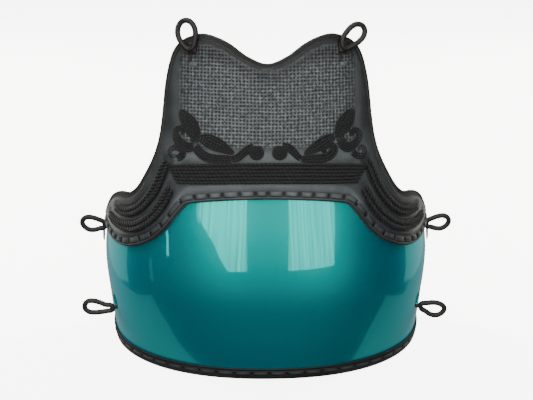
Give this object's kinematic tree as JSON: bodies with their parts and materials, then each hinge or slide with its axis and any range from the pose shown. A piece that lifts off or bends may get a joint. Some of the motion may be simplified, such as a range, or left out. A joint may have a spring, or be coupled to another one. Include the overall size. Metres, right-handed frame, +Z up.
{
  "type": "kendo chest protector",
  "caption": "Kendo chest protector: teal lacquered barrel shell, dark padded leather chest panel with corded ornament, and six leather loops.",
  "frame": {"origin": "on the floor under the middle of the outline, standing on the rim binding", "axes": "+Z up, +X to the right seen from the front, the chest faces -Y and the back is open to +Y"},
  "size_m": [0.4564, 0.2192, 0.4098],
  "materials": {
    "lacquer": "polished lacquer",
    "panel_leather": "woven grain",
    "trim_leather": "satin",
    "cord": "matte",
    "loop_leather": "satin"
  },
  "bodies": {
    "root": {"barrel_shell": "lacquer", "chest_panel": "panel_leather", "edge_piping": "trim_leather", "lacing_border": "trim_leather", "rim_binding": "trim_leather", "cord_band": "cord", "scroll_left": "cord", "scroll_right": "cord", "wing_cord_inner_left": "cord", "wing_cord_inner_right": "cord", "wing_cord_outer_left": "cord", "wing_cord_outer_right": "cord", "top_loop_left": "loop_leather", "top_loop_right": "loop_leather", "upper_side_loop_left": "loop_leather", "upper_side_loop_right": "loop_leather", "lower_side_loop_left": "loop_leather", "lower_side_loop_right": "loop_leather"}
  },
  "joints": []
}
